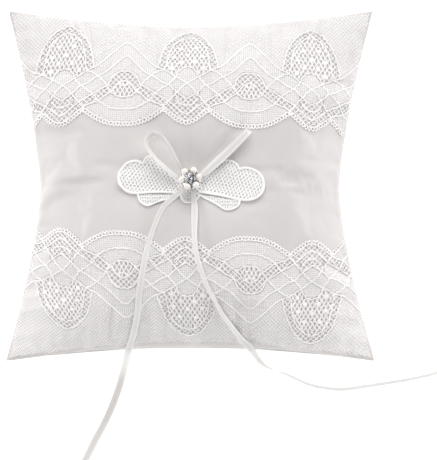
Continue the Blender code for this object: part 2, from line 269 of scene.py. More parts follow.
def combine(tree, first, second, operation="MULTIPLY"):
    node = add_node(tree, "ShaderNodeMath", operation=operation)
    for target, source in zip(node.inputs, (first, second)):
        if isinstance(source, (int, float)):
            target.default_value = source
        else:
            tree.links.new(source, target)
    return node.outputs[0]


def tint(tree, shader, factor, dark, light):
    """Base colour varying between two shades by factor."""
    ramp = add_node(tree, "ShaderNodeValToRGB")
    ramp.color_ramp.elements[0].color = (*dark, 1.0)
    ramp.color_ramp.elements[1].color = (*light, 1.0)
    ramp.color_ramp.elements[0].position = 0.3
    ramp.color_ramp.elements[1].position = 0.7
    tree.links.new(factor, ramp.inputs["Fac"])
    tree.links.new(ramp.outputs["Color"], shader.inputs["Base Color"])


def vary_roughness(tree, shader, factor, low, high):
    node = add_node(tree, "ShaderNodeMapRange")
    node.inputs["To Min"].default_value = low
    node.inputs["To Max"].default_value = high
    tree.links.new(factor, node.inputs["Value"])
    tree.links.new(node.outputs["Result"], shader.inputs["Roughness"])


def bump(tree, shader, height, strength, distance_mm):
    node = add_node(tree, "ShaderNodeBump", Strength=strength, Distance=distance_mm * MM)
    tree.links.new(height, node.inputs["Height"])
    tree.links.new(node.outputs["Normal"], shader.inputs["Normal"])


def satin_material(name, shade):
    """Warp-faced satin: fine long floats, soft sheen and slight slubs."""
    material, tree, shader = new_material(
        name, shade, 0.42, Sheen_Weight=0.45, Sheen_Roughness=0.45, Specular_IOR_Level=0.35)
    place = coordinates(tree)
    floats = noise(tree, coordinates(tree, (5200.0, 700.0, 700.0)), 1.0, 2.0)
    slubs = noise(tree, coordinates(tree, (420.0, 60.0, 60.0)), 1.0, 4.0)
    clouds = noise(tree, place, 26.0, 3.0)
    tint(tree, shader, combine(tree, clouds, combine(tree, slubs, 0.4), "ADD"),
         tuple(c * 0.955 for c in shade), shade)
    vary_roughness(tree, shader, slubs, 0.34, 0.5)
    weave = combine(tree, floats, combine(tree, slubs, 0.6), "ADD")
    bump(tree, shader, weave, 0.35, 0.05)
    return material


def thread_material(name, shade):
    """Soft cotton or rayon thread with twisted fibres."""
    material, tree, shader = new_material(
        name, shade, 0.62, Sheen_Weight=0.35, Sheen_Roughness=0.5, Specular_IOR_Level=0.3)
    place = coordinates(tree)
    fibres = noise(tree, place, 2600.0, 2.0)
    clouds = noise(tree, place, 60.0, 2.0)
    tint(tree, shader, clouds, tuple(c * 0.97 for c in shade), shade)
    vary_roughness(tree, shader, fibres, 0.5, 0.75)
    bump(tree, shader, fibres, 0.5, 0.08)
    return material


def tulle_material(name, cover):
    """The sheer ground that lace threads lie on."""
    material, tree, shader = new_material(name, (0.97, 0.945, 0.94), 0.7, Alpha=cover, Sheen_Weight=0.3)
    cells = add_node(tree, "ShaderNodeTexVoronoi", Scale=1100.0)
    tree.links.new(coordinates(tree), cells.inputs["Vector"])
    bump(tree, shader, cells.outputs["Distance"], 0.3, 0.05)
    return material


def ribbon_material():
    """Narrow double-face satin ribbon with close warp lines and firm selvages; a painted highlight
    lightens its edges.
    """
    shade = (0.80, 0.78, 0.765)
    material, tree, shader = new_material(
        "ribbon_satin", shade, 0.33, Sheen_Weight=0.2, Specular_IOR_Level=0.45)
    along = coordinates(tree, attribute="weave")
    warp = wave(tree, along, 2.2, "Y", 0.3)
    weft = wave(tree, along, 1.1, "X", 0.6)
    slubs = noise(tree, coordinates(tree, (0.15, 3.0, 1.0), "weave"), 1.0, 3.0)
    parts = add_node(tree, "ShaderNodeSeparateXYZ")
    tree.links.new(along, parts.inputs["Vector"])
    # painted highlight: the colour grows lighter towards both selvages and darker in the ribbon's middle
    edge = combine(tree, combine(tree, parts.outputs["Y"], 0.0, "ABSOLUTE"), 0.42)
    tint(tree, shader, combine(tree, edge, combine(tree, slubs, 0.25), "ADD"),
         tuple(c * 0.95 for c in shade), (0.85, 0.83, 0.815))
    vary_roughness(tree, shader, slubs, 0.26, 0.42)
    bump(tree, shader, combine(tree, warp, combine(tree, weft, 0.5), "ADD"), 0.3, 0.05)
    return material


def grained_material(name, colour, roughness, grain, shades=None, rough=None, relief=None, **sockets):
    """A material whose colour, roughness and relief follow one noise, grain being its scale
    and detail."""
    material, tree, shader = new_material(name, colour, roughness, **sockets)
    factor = noise(tree, coordinates(tree), *grain)
    if rough:
        vary_roughness(tree, shader, factor, *rough)
    if shades:
        tint(tree, shader, factor, *shades)
    if relief:
        bump(tree, shader, factor, *relief)
    return material


def metal_material():
    return grained_material(
        "silver_plate", (0.78, 0.78, 0.77), 0.16, (900.0, 4.0), metallic=1.0,
        shades=((0.6, 0.6, 0.6), (0.85, 0.85, 0.84)), rough=(0.1, 0.3), relief=(0.15, 0.03))


def crystal_material():
    return grained_material(
        "cut_crystal", (0.97, 0.98, 1.0), 0.02, (500.0, 2.0), rough=(0.0, 0.04), IOR=1.6,
        Transmission_Weight=1.0, Coat_Weight=0.5)


def foil_material():
    """The dark mirror behind a foiled stone."""
    return grained_material(
        "stone_foil", (0.8, 0.8, 0.82), 0.04, (700.0, 2.0), metallic=1.0, rough=(0.03, 0.12))


def filling_material():
    return grained_material(
        "polyester_fibre", (0.93, 0.93, 0.93), 0.95, (400.0, 5.0),
        shades=((0.85, 0.85, 0.85), (0.95, 0.95, 0.95)), relief=(0.6, 0.4))


def pearl_material():
    """Nacre: warm body, clear coat and faint colour drift."""
    material, tree, shader = new_material(
        "nacre", (0.9, 0.87, 0.83), 0.2, Coat_Weight=0.8, Coat_Roughness=0.06,
        Specular_IOR_Level=0.6, Sheen_Weight=0.15)
    drift = noise(tree, coordinates(tree), 260.0, 2.0)
    tint(tree, shader, drift, (0.86, 0.80, 0.745), (0.93, 0.905, 0.87))
    vary_roughness(tree, shader, drift, 0.16, 0.28)
    bump(tree, shader, noise(tree, coordinates(tree), 2200.0, 2.0), 0.06, 0.03)
    return material


# Studio

FRAME_WIDTH_MM = 250.0      # what the picture's width takes in at the pillow
SENSOR_MM = 36.0
CAMERA_DISTANCE = 2.6
ELEVATION = math.radians(80.0)
AIM = Vector((0.0160, -0.0255, 0.040))
LAMP_AIM = Vector((0, 0, 0.03))
LAMPS = (
    # name, place and size in metres, power in watts
    ("window", (0.1, 1.25, 0.85), (1.5, 1.1), 18.6),
    ("overhead", (-0.45, 0.1, 1.4), (0.6, 0.6), 4.2),
    ("front_fill", (0.1, -1.2, 0.7), (1.0, 0.6), 6.2),
    ("left_fill", (-1.2, 0.0, 0.4), (0.8, 0.5), 6.4),
    ("right_fill", (1.2, 0.0, 0.4), (0.8, 0.5), 6.1))
SKY_STRENGTH = 0.18
WHITE = (1.0, 1.0, 1.0, 1.0)
TABLE_HALF = 1500
TABLE_GLOW = 0.5            # brings the white table to the paper white of the background


def add_camera():
    data = bpy.data.cameras.new("camera")
    data.sensor_fit = "HORIZONTAL"
    data.sensor_width = SENSOR_MM
    data.lens = SENSOR_MM * CAMERA_DISTANCE / (FRAME_WIDTH_MM * MM)
    data.clip_end = 20.0
    camera = bpy.data.objects.new("camera", data)
    offset = Vector((0, -math.cos(ELEVATION), math.sin(ELEVATION)))
    camera.location = AIM + offset * CAMERA_DISTANCE
    camera.rotation_euler = (-offset).to_track_quat("-Z", "Y").to_euler()
    bpy.context.scene.collection.objects.link(camera)
    bpy.context.scene.camera = camera


def add_lamps():
    for name, place, size, power in LAMPS:
        light = bpy.data.lights.new(name, "AREA")
        light.shape = "RECTANGLE"
        light.size, light.size_y = size
        light.energy = power
        lamp = bpy.data.objects.new(name, light)
        lamp.location = place
        lamp.rotation_euler = (LAMP_AIM - Vector(place)).to_track_quat("-Z", "Y").to_euler()
        bpy.context.scene.collection.objects.link(lamp)


def make_studio():
    add_camera()
    add_lamps()
    world = bpy.data.worlds.new("studio")
    world.use_nodes = True
    sky = world.node_tree.nodes["Background"]
    sky.inputs["Color"].default_value = WHITE
    sky.inputs["Strength"].default_value = SKY_STRENGTH
    bpy.context.scene.world = world
    bpy.context.scene.view_settings.view_transform = "Standard"

    white, _, shader = new_material("white_table", (0.95, 0.95, 0.95), 0.8)
    shader.inputs["Emission Color"].default_value = WHITE
    shader.inputs["Emission Strength"].default_value = TABLE_GLOW
    points = [(x * TABLE_HALF, y * TABLE_HALF, 0) for x, y in ((-1, -1), (1, -1), (1, 1), (-1, 1))]
    floor = mesh_object("floor", points, [(0, 1, 2, 3)], white, smooth=False)


# The pillow's surface

def half_width(side, t):
    pull = np.where(side < 0, PULL_LEFT, PULL_RIGHT)
    return HALF_X - pull * (1 - np.abs(t) ** EDGE_POWER)


def half_height(side, s):
    top = HALF_Y - PULL_TOP * (1 - np.abs(s) ** EDGE_POWER)
    bottom = HALF_Y - PULL_BOTTOM * (1 - np.abs(s) ** BOTTOM_POWER)
    return np.where(side < 0, bottom, top)


def plan(s, t):
    tip = 1 - TIP_ROUND * (np.abs(s) * np.abs(t)) ** 40
    return s * half_width(s, t) * tip, t * half_height(t, s) * tip


def middle_height(s, t):
    return SEAM_Z + CORNER_CURL * np.abs(s * t) ** 3


def crown(s, t):
    rise = (1 - np.abs(s) ** CROWN_POWER) * (1 - np.abs(t) ** CROWN_POWER)
    return np.maximum(rise, 0.0) ** CROWN_ROUND


def dimple(x, y):
    return np.exp(-(x * x + y * y) / DIMPLE_RADIUS ** 2)


def seam_distance(s, t):
    """Rough distance to the nearest seam, less a little for the drawn-in edges."""
    return np.minimum((1 - np.abs(s)) * HALF_X, (1 - np.abs(t)) * HALF_Y) * 0.92


HALF_SEAM = 95.0        # about half a seam's length
PUCKER = 0.24
PUCKER_WAVES = 5
PUCKER_PERIODS = (7.0, 19.0)
PUCKER_REACH = 9.0      # how far puckers run in, and how soon they grow from the seam
PUCKER_START = 1.2


def puckers(s, t, seed):
    """Small gathers that run in from the seams and die out in the panel."""
    chance = np.random.default_rng(seed)
    total = np.zeros_like(s)
    for across, along in ((s, t), (t, s)):
        for sign in (-1, 1):
            inward = np.maximum(0, 1 - sign * across) * HALF_SEAM
            fade = np.exp(-inward / PUCKER_REACH) * (1 - np.exp(-inward / PUCKER_START))
            ripple = np.zeros_like(s)
            for _ in range(PUCKER_WAVES):
                period = chance.uniform(*PUCKER_PERIODS)
                phase = chance.uniform(0, 2 * math.pi)
                ripple += np.sin(2 * math.pi * along * HALF_SEAM / period + phase)
            total += fade * ripple * PUCKER
    return total


TUFT_FOLD = 1.1
TUFT_FOLD_RADIUS = 14.0
TUFT_FOLD_COUNTS = (4, 5, 7)


def tuft_folds(x, y, seed):
    """Soft folds that run out from the tufting point."""
    chance = np.random.default_rng(seed)
    radius = np.hypot(x, y) / TUFT_FOLD_RADIUS
    angle = np.arctan2(y, x)
    folds = np.zeros_like(x)
    for count in TUFT_FOLD_COUNTS:
        folds += np.cos(count * angle + chance.uniform(0, 6.28)) / len(TUFT_FOLD_COUNTS)
    return folds * TUFT_FOLD * radius * np.exp(-radius)


def front_surface(s, t):
    x, y = plan(s, t)
    sag = np.exp(-(x / VALLEY_ACROSS) ** 2 - ((y - VALLEY_Y) / VALLEY_ALONG) ** 2)
    at_tuft = math.exp(-(VALLEY_Y / VALLEY_ALONG) ** 2)
    valley = VALLEY * (sag - at_tuft * dimple(x, y))
    rise = FRONT_RISE * crown(s, t) - DIMPLE_FRONT * dimple(x, y) - valley
    lift = middle_height(s, t) + SEAM_HALF + rise + puckers(s, t, SEED) + tuft_folds(x, y, SEED)
    return np.stack([x, y, lift], axis=-1)


UNDER_BULGE = 3.0       # how far the back bellies out just under the seam
UNDER_SHARE = 0.16
TABLE_SOFTNESS = 1.2    # how gently the back flattens on to the table


def under_bulge(edge, other):
    """How far the back bellies out along one way, edge being s or t of that way."""
    rise = np.sin(math.pi * np.clip((1 - np.abs(edge)) / UNDER_SHARE, 0, 1))
    return np.sign(edge) * UNDER_BULGE * rise * (1 - other ** 4)


def back_surface(s, t):
    """The back bellies out under the seam and lies flat where it rests."""
    x, y = plan(s, t)
    x = x + under_bulge(s, t)
    y = y + under_bulge(t, s)
    drop = BACK_DROP * crown(s, t) - DIMPLE_BACK * dimple(x, y)
    height = middle_height(s, t) - SEAM_HALF - drop - puckers(s, t, SEED + 1)
    height = TABLE_SOFTNESS * np.logaddexp(0, height / TABLE_SOFTNESS)
    return np.stack([x, y, height], axis=-1)


def surface_normals(points, upward):
    ds = np.gradient(points, axis=0)
    dt = np.gradient(points, axis=1)
    normals = unit(np.cross(ds, dt))
    return normals if upward else -normals


def blur(values, reach):
    """Values smoothed along both ways of a grid."""
    kernel = np.exp(-0.5 * (np.arange(-3 * reach, 3 * reach + 1) / reach) ** 2)
    kernel /= kernel.sum()
    for axis in (0, 1):
        wide = np.pad(values, [(3 * reach, 3 * reach) if k == axis else (0, 0) for k in (0, 1)], "edge")
        values = np.apply_along_axis(np.convolve, axis, wide, kernel, "valid")
    return values


def pillow_mesh(front, back):
    """The two panels as one closed mesh that shares the points of its seam."""
    size = front.shape[0]
    top = np.arange(size * size).reshape(size, size)
    bottom = top.copy()
    bottom[1:-1, 1:-1] = size * size + np.arange((size - 2) ** 2).reshape(size - 2, size - 2)
    points = np.vstack([front.reshape(-1, 3), back[1:-1, 1:-1].reshape(-1, 3)])
    faces = []
    for number, flip in ((top, False), (bottom, True)):
        quads = grid_faces(number)
        faces.extend((quads[:, ::-1] if flip else quads).tolist())
    rim = np.unique(np.concatenate([top[0], top[-1], top[:, 0], top[:, -1]]))
    return points, faces, top, bottom, rim


CLOTH_EASE = 0.05       # share by which the cut cloth is larger than the form it covers
CLOTH_PRESSURE = 4.0
CLOTH_FRAMES = 20
CLOTH_SETTINGS = dict(
    vertex_group_mass="held", quality=6, mass=0.2, tension_stiffness=25, compression_stiffness=25,
    shear_stiffness=6, bending_stiffness=0.02, shrink_min=-CLOTH_EASE, use_pressure=True,
    uniform_pressure_force=CLOTH_PRESSURE)
TUFT_RADIUS = 5.0       # the cloth is held at the tuft within this radius
GATHER_LIMIT = 1.5
GATHER_BLUR = 5         # grid lines: longer waves than this are left to the drawn form


def simulate_cloth(front, back):
    """How far a short cloth simulation moves the two panels, held at seam and tuft."""
    points, faces, top, bottom, rim = pillow_mesh(front, back)
    mesh = bpy.data.meshes.new("simulated_pillow")
    mesh.from_pydata((points * MM).tolist(), [], faces)
    obj = bpy.data.objects.new("simulated_pillow", mesh)
    bpy.context.scene.collection.objects.link(obj)
    held = obj.vertex_groups.new(name="held")
    tuft = np.flatnonzero(np.hypot(points[:, 0], points[:, 1]) < TUFT_RADIUS)
    held.add([int(number) for number in np.union1d(rim, tuft)], 1.0, "REPLACE")
    cloth = obj.modifiers.new("cloth", "CLOTH")
    for name, value in CLOTH_SETTINGS.items():
        setattr(cloth.settings, name, value)
    cloth.settings.effector_weights.gravity = 0
    cloth.collision_settings.use_collision = False
    for number in range(1, CLOTH_FRAMES + 1):
        bpy.context.scene.frame_set(number)
    evaluated = obj.evaluated_get(bpy.context.evaluated_depsgraph_get())
    moved = np.empty(len(points) * 3, dtype=np.float32)
    evaluated.data.vertices.foreach_get("co", moved)
    bpy.context.scene.frame_set(1)
    bpy.data.objects.remove(obj)
    shift = moved.reshape(-1, 3) / MM - points
    return shift[top], shift[bottom]


def finer(values, size):
    """Values of a coarse grid read on a grid of size lines."""
    coarse = np.linspace(0, 1, values.shape[0])
    fine = np.linspace(0, 1, size)
    for axis in (0, 1):
        values = np.apply_along_axis(lambda line: np.interp(fine, coarse, line), axis, values)
    return values


def gathers(shift, normals):
    """The fine part of the simulated movement, capped, as a height for each grid point."""
    height = np.sum(shift * normals, axis=-1)
    height = height - blur(height, GATHER_BLUR)
    return finer(GATHER_LIMIT * np.tanh(height / GATHER_LIMIT), GRID)


def gathered(panel, shift, upward):
    """A panel with its gathers: none at the seam and the corners, and shallower in the middle."""
    from_seam = seam_distance(GRID_S, GRID_T)
    corner = np.abs(GRID_S * GRID_T)
    calm = np.clip(from_seam / 3.0, 0, 1) * lerp(1.0, 0.4, np.clip((from_seam - 25) / 25, 0, 1))
    calm = calm * (1 - corner ** 3) * (corner < 0.85)
    normals = surface_normals(panel, upward)
    return panel + normals * (gathers(shift, normals[::2, ::2]) * calm)[..., None]


LINES = np.sin(np.linspace(-1, 1, GRID) * EDGE_DENSITY) / math.sin(EDGE_DENSITY)
GRID_S, GRID_T = np.meshgrid(LINES, LINES, indexing="ij")
FRONT = front_surface(GRID_S, GRID_T)
BACK = back_surface(GRID_S, GRID_T)
front_shift, back_shift = simulate_cloth(FRONT[::2, ::2], BACK[::2, ::2])
FRONT = gathered(FRONT, front_shift, True)
BACK = gathered(BACK, back_shift, False)
BACK[..., 2] = np.maximum(BACK[..., 2], 0.1)
FRONT_NORMALS = surface_normals(FRONT, True)


def on_grid(values, s, t):
    """Values on the panel grid, read between its lines at s and t."""
    def place(line):
        share = np.arcsin(np.clip(line, -1, 1) * math.sin(EDGE_DENSITY)) / EDGE_DENSITY
        return np.clip((share + 1) / 2 * (GRID - 1), 0, GRID - 1.001)
    return between(values, place(s), place(t))


def on_front(s, t, lift):
    """Points a little above the front panel."""
    normals = unit(on_grid(FRONT_NORMALS, s, t))
    return on_grid(FRONT, s, t) + normals * np.asarray(lift, dtype=float)[..., None], normals


def panel_place(x, y):
    """The s and t over a plan point, by repeated correction."""
    x = np.asarray(x, dtype=float)
    y = np.asarray(y, dtype=float)
    s = np.clip(x / HALF_X, -1, 1)
    t = np.clip(y / HALF_Y, -1, 1)
    for _ in range(14):
        s = np.clip(x / half_width(x, t), -1, 1)
        t = np.clip(y / half_height(y, s), -1, 1)
    return s, t


def over_front(x, y, lift):
    """Points above the front panel at plan places x and y."""
    s, t = panel_place(x, y)
    return on_front(s, t, np.broadcast_to(np.asarray(lift, dtype=float), s.shape))


def layered(name, top, bottom, material):
    """A closed form between two grids of points that run alike."""
    rows, columns = top.shape[:2]
    count = rows * columns
    number = np.arange(count).reshape(rows, columns)
    quads = grid_faces(number)
    faces = np.vstack([quads, quads[:, ::-1] + count, rim_faces(number, count)]).tolist()
    return mesh_object(name, np.vstack([top.reshape(-1, 3), bottom.reshape(-1, 3)]), faces, material)


SATIN_SHADE = (0.665, 0.634, 0.626)
# The back is the same satin as the front. Its darker, warmer colour is painted shade for the underside
# and the strip under the seam.
BACK_SATIN_PAINTED_SHADE = (0.62, 0.565, 0.51)


def make_panels():
    """The back's grid is turned over so that its faces look outwards."""
    normals = surface_normals(BACK, False)
    # the back panel gets the painted-shade colour, a darker copy of the front satin
    sides = (("front", FRONT, FRONT_NORMALS, SATIN_SHADE),
             ("back", BACK[:, ::-1], normals[:, ::-1], BACK_SATIN_PAINTED_SHADE))
    for side, outer, outward, shade in sides:
        material = satin_material(side + "_satin", shade)
        panel = layered(side + "_satin_panel", outer, outer - outward * SATIN, material)
        stand_in(panel, "pillow", side + "_satin", side + "_panel")


# Threads

def tubes(name, lines, radius, material, sides=3, flatness=0.8, stitch=0.0, ripple=0.0):
    """One mesh of many closed threads. A line is its points, the normals of the cloth below
    and, where it isn't radius, its own radius. A stitched cord swells and narrows by ripple
    once every stitch millimetres."""
    points = []
    faces = []
    start = 0
    turn = np.arange(sides) * 2 * math.pi / sides + math.pi / 2
    for line, normals, *own in lines:
        size = len(line)
        if size < 2:
            continue
        along = unit(np.gradient(line, axis=0))
        across = unit(np.cross(normals, along))
        up = np.cross(along, across)
        swell = np.full(size, own[0] if own else radius)
        if stitch:
            swell = swell * (1 + ripple * np.sin(travel(line) * 2 * math.pi / stitch))
        ring = (line[:, None, :]
                + across[:, None, :] * (swell[:, None] * np.cos(turn))[..., None]
                + up[:, None, :] * (swell[:, None] * np.sin(turn) * flatness)[..., None])
        points.append(ring.reshape(-1, 3))
        faces.extend(face[::-1] for face in tube_faces(size, sides, start))
        start += size * sides
    return mesh_object(name, np.vstack(points), faces, material)


class LaceBand:
    """Maps lace millimetres to the panel: a along the band from the panel's middle,
    b across it from the free edge towards the seam."""

    ROWS = np.linspace(0.2, 1.0, 33)
    ALONG = np.linspace(-124, 124, 249)
    COLUMNS = np.linspace(-1, 1, 121)
    DEPTHS = np.linspace(-10, 84, 189)

    def __init__(self, side, edge, slant, bow):
        self.side = side
        self.tuck = LOWER_TUCK if side < 0 else 0.0
        fine = np.linspace(-1, 1, 601)
        rows = []
        for t in self.ROWS:
            row = on_grid(FRONT, fine, np.full_like(fine, t * side))
            arc = travel(row)
            arc -= np.interp(0, row[:, 0], arc)
            first, last = arc[0], arc[-1]
            reach = np.interp(self.ALONG, arc, fine)
            reach = np.where(self.ALONG < first, -1.1, np.where(self.ALONG > last, 1.1, reach))
            rows.append(reach)
        self.across = np.array(rows)
        t = np.linspace(0, 1, 401)
        table = []
        for s in self.COLUMNS:
            column = on_grid(FRONT, np.full_like(t, s), t * side)
            length = travel(column)
            x = column[len(t) // 3, 0]
            first = np.interp(edge + slant * x - bow * (x / EDGE_HALF) ** 4, np.abs(column[:, 1]), length)
            table.append(np.interp(self.DEPTHS, length - first, t, right=1.2))
        self.down = np.array(table)

    def place(self, a, b):
        """The s and t of a lace point."""
        t = np.full(np.shape(a), 0.6)
        b = b - self.tuck * (1 - 0.5 * a / EDGE_HALF) * np.maximum(0, b - TUCK_FROM)
        a = a * (1 - LACE_TAPER * b) + LACE_LEAN * b
        for _ in range(3):
            s = read_table(self.across, self.ROWS, self.ALONG, t, a)
            t = read_table(self.down, self.COLUMNS, self.DEPTHS, s, b)
        return s, t

    def inside(self, a, b):
        s, t = self.place(a, b)
        return (np.abs(s) < LACE_LIMIT) & (t < self.limit(s))

    def limit(self, s):
        """Where the lace runs under the seam; the lower lace stops short in the middle."""
        short = 0.008 if self.side < 0 else 0.0
        return LACE_LIMIT - short * np.maximum(0, 1 - s * s)

    def lay(self, a, b, lift):
        s, t = self.place(a, b)
        return on_front(s, np.minimum(t, 1) * self.side, np.broadcast_to(lift, s.shape))


def read_table(table, rows, columns, row, column):
    """Values of an evenly spaced table, read between its lines."""
    i = np.clip((row - rows[0]) / (rows[1] - rows[0]), 0, len(rows) - 1.001)
    j = np.clip((column - columns[0]) / (columns[1] - columns[0]), 0, len(columns) - 1.001)
    return between(table, i, j)


# The lace design, over half a repeat: from the middle of a wide scallop (a = 0) to the
# middle of a narrow one, b from the wide scallop's tip. Each cord weaves on through its
# mirror images.
OUTER_ARC = ((0, 0), (5.5, 0.2), (10.5, 1.5), (15.5, 4), (20, 7), (23.5, 9.8), (27, 13.7),
             (30.5, 17.6), (33.5, 21), (36.3, 23.2))
OUTER_ARCH = ((36.3, 23.2), (32.5, 25.6), (28, 28.3), (22.5, 31.7), (17, 34), (13, 37.5),
              (8.5, 42.2), (4.2, 46.6), (1.5, 49), (0, 49.6))
SECOND_ARC = ((0, 7.9), (5, 8), (9.5, 9.6), (14.2, 12.6), (17.5, 16.5), (21.5, 19.8),
              (25.5, 22.6), (28.8, 26), (30.5, 29.5), (33, 32.6), (36.3, 33.8))
NEAR_ARC = ((0, 14.9), (3, 15.2), (5.8, 16.6), (8, 19), (10.5, 22.8), (15, 27.2), (19, 30.3),
            (22.5, 31.7))
MEDALLION = ((22.5, 31.7), (23.6, 34.5), (24, 38), (24.8, 43), (27, 49), (31.2, 53.8), (36.3, 56))
MEDALLION_RIM = ((18.5, 33.5), (19.6, 38), (20.8, 43), (23.2, 49), (26.8, 54.6), (31.2, 58.8),
                 (36.3, 60.6))
NARROW_EDGE = ((36.3, 1.6), (33, 2.4), (29, 5), (25, 8.2), (21, 10.7), (14.4, 13), (11.2, 15.5),
               (6.6, 18.8), (4.2, 22), (1.8, 23.8), (0, 24.3))
NARROW_SECOND = ((36.3, 5.6), (33.5, 6.8), (30, 9.6), (26, 12.6), (22, 15), (17.7, 17.3),
                 (14, 19.8), (9.9, 21.8), (8.2, 24.5), (7, 27.3), (3.8, 29.8), (0, 30.5))
INNER_ARCH = ((36.3, 14.3), (34, 15.6), (31, 17.6), (28.5, 19.8), (26.5, 21.9), (24, 23),
              (21.4, 24), (16.6, 27.2), (12.6, 29.2), (9.4, 31.6), (4.6, 36.6), (2, 39.4), (0, 40.4))
EYE = ((0, 21.6), (1.8, 22), (3.6, 23.4))
NARROW_BAR = ((36.3, 10.6), (33.6, 10.8), (31.6, 12.4), (30.4, 14.6))
FLOWERS = ((0, 42), (8.3, 41), (4, 36.8), (8.8, 32.6), (4.5, 47.4))
CORDS = (OUTER_ARC, OUTER_ARCH, SECOND_ARC, NEAR_ARC, MEDALLION, MEDALLION_RIM, NARROW_EDGE,
         NARROW_SECOND, INNER_ARCH, EYE, NARROW_BAR)
OPEN, GRID_FILL, HATCH, UPRIGHT, LADDER, NET, POINT_GROUND = range(7)


def fold(a):
    """Distance along the band to the middle of the nearest wide scallop."""
    phase = (a - LACE_SHIFT - HALF_PITCH + PITCH * 20) % PITCH
    return np.minimum(phase, PITCH - phase)


def level(cord, across):
    """A cord's b at distance across from the wide scallop's middle."""
    curve = smooth_curve(cord, 0.5)
    order = np.argsort(curve[:, 0])
    return np.interp(across, curve[order, 0], curve[order, 1])


def reach_across(cord, b):
    """How far across an upright cord stands at b; beyond its top it is out of the way."""
    across, heights = np.array(cord).T
    return np.interp(b, heights, across, left=across[0], right=99)


def free_edge(across):
    return np.minimum(level(OUTER_ARC, across), level(NARROW_EDGE, across))


def fill_style(a, b):
    """Which filling the lace has at a, b."""
    across = fold(a)
    outer = level(OUTER_ARC, across)
    arch = level(OUTER_ARCH, across)
    second = level(SECOND_ARC, across)
    near = level(NEAR_ARC, across)
    narrow = level(NARROW_EDGE, across)
    narrow_second = level(NARROW_SECOND, across)
    inner = level(INNER_ARCH, across)
    style = np.full(np.shape(a), HATCH)
    # the bare distances across are where the cords that bound a filling cross
    style[(b < second) & (b > outer) & (across < 27)] = GRID_FILL
    style[(b > near) & (b < narrow_second) & (across < 9)] = NET
    style[(b > inner) & (b < arch) & (across < 20)] = UPRIGHT
    style[(b > inner) & (b < arch) & (across >= 20)] = GRID_FILL
    style[(b - narrow) * (b - narrow_second) < 0] = LADDER
    style[(b > narrow) & (b < inner) & (across > 29)] = LADDER
    beyond = b > arch
    style[beyond] = POINT_GROUND
    style[beyond & (across > 28) & (b < second)] = UPRIGHT
    style[beyond & (b >= second) & (across > reach_across(MEDALLION_RIM, b))] = LADDER
    style[beyond & (b >= second) & (across > reach_across(MEDALLION, b))] = NET
    style[b <= free_edge(across)] = OPEN
    return style


def split_runs(keep):
    """Start and end of each run of true values that has three points or more."""
    edges = np.flatnonzero(np.diff(np.concatenate([[0], keep.astype(int), [0]])))
    return [(i, j) for i, j in zip(edges[::2], edges[1::2]) if j - i >= 3]


THREAD_LIFT = 0.34          # how high threads, edge loops, flowers and cords lie on the satin
PICOT_LIFT = 0.42
FLOWER_LIFT = 0.4
CORD_LIFT = 0.48
THREAD_SWAY = (0.09, 1.7, 3.1)
HALF_SPAN = 118.0
DEPTH_SPAN = 92.0
FILL_FAMILIES = (
    # direction in degrees, spacing, thread radius, fillings that it serves
    (90, 1.2, 0.17, (GRID_FILL, UPRIGHT)),
    (0, 1.2, 0.17, (GRID_FILL, HATCH)),
    (90, 3.3, 0.15, (HATCH,)),
    (0, 3.0, 0.15, (UPRIGHT,)),
    (45, 2.3, 0.5, (LADDER,)), (-45, 2.3, 0.5, (LADDER,)),
    (60, 2.3, 0.64, (NET,)), (-60, 2.3, 0.64, (NET,)),
    (45, 1.6, 0.22, (POINT_GROUND,)), (-45, 1.6, 0.22, (POINT_GROUND,)),
)


def fill_lines(band, lift):
    """Every filling thread of a band, cut to the fillings it belongs to."""
    lines = []
    reach = math.hypot(HALF_SPAN, DEPTH_SPAN / 2) + 2
    for degrees, spacing, radius, served in FILL_FAMILIES:
        for a, b in straight_rows(degrees, spacing, reach, 0.8, THREAD_SWAY):
            b = b + DEPTH_SPAN / 2
            near = (np.abs(a) < HALF_SPAN) & (b > 0) & (b < DEPTH_SPAN)
            if near.sum() < 3:
                continue
            a = a[near]
            b = b[near]
            keep = np.isin(fill_style(a, b), served) & band.inside(a, b)
            for i, j in split_runs(keep):
                lines.append((*band.lay(a[i:j], b[i:j], lift), radius))
    return lines


CORD_WAVER = 3.4        # millimetres between the small wavers of a hand-guided cord
CORD_SWAY = 0.16


def repeats(band, cord, spacing):
    """A half-repeat cord laid at every repeat and mirror image along the band."""
    curve = smooth_curve(cord, spacing)
    waver = np.sin(travel(curve) * 2 * math.pi / CORD_WAVER)
    curve = curve + CORD_SWAY * np.stack([waver, -waver], axis=1)
    pieces = []
    for number in range(-3, 3):
        middle = LACE_SHIFT + (number + 0.5) * PITCH
        for sign in (-1, 1):
            a = middle + sign * curve[:, 0]
            for i, j in split_runs(band.inside(a, curve[:, 1])):
                pieces.append((a[i:j], curve[i:j, 1]))
    return pieces


def cord_lines(band, lift):
    lines = []
    for cord in CORDS:
        for a, b in repeats(band, cord, 0.42):
            lines.append(band.lay(a, b, lift))
    return lines


PICOT_PITCH = 1.9
PICOT_REACH = 1.95


def picot_lines(band, lift):
    """The looped edge: a thread that swings out from the free edge and back."""
    a = np.arange(-HALF_SPAN, HALF_SPAN, 0.12)
    b = free_edge(fold(a))
    travelled = np.cumsum(np.hypot(np.gradient(a), np.gradient(b)))
    outward = unit(np.stack([np.gradient(b), -np.gradient(a)], axis=1))
    loop = np.abs(np.sin(math.pi * travelled / PICOT_PITCH))
    reach = 0.25 + PICOT_REACH * loop ** 0.8
    a = a + outward[:, 0] * reach
    b = b + outward[:, 1] * reach
    return [band.lay(a[i:j], b[i:j], lift) for i, j in split_runs(band.inside(a, b))]


BLOSSOM_LIMIT = 0.94    # no flowers nearer the seams than this share of the panel
FLOWER_SIZE = 1.75
DOT_SIZE = 0.55
DOT_ROWS = (3.2, 6.4, 9.6)
PETALS = 5
FLOWER_SIDES = 15
FLOWER_RINGS = ((1.0, 0.0), (0.8, 0.2), (0.35, 0.28))      # share of the size, rise


